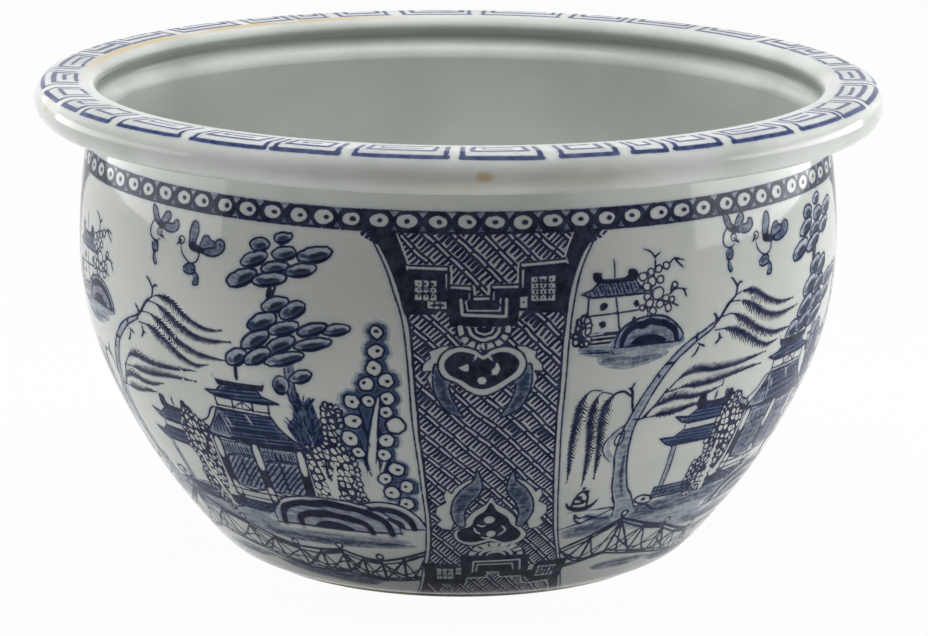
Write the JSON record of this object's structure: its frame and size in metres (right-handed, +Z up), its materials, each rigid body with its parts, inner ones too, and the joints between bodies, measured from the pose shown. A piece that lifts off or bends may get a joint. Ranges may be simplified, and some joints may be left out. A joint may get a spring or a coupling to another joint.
{
  "type": "fish bowl jardiniere",
  "caption": "Deep round porcelain bowl with a wide rolled rim and a low foot ring, painted in underglaze blue, for plants, water or fish.",
  "frame": {"origin": "on the ground under the centre of the bowl, in the plane of the foot ring's standing face", "axes": "+Z up along the bowl's axis of turning; -Y towards the viewer of the picture, +X to the right"},
  "size_m": [0.4599, 0.46, 0.261],
  "materials": {
    "biscuit": "matte",
    "painted_glaze": "gloss",
    "plain_glaze": "gloss",
    "rim_glaze": "gloss"
  },
  "bodies": {
    "root": {"foot_ring": "biscuit", "base_disc": "biscuit", "lower_wall": "biscuit", "upper_wall": "biscuit", "rolled_rim": "biscuit", "outer_glaze": "painted_glaze", "inner_glaze": "plain_glaze", "rim_glaze": "rim_glaze"}
  },
  "joints": []
}
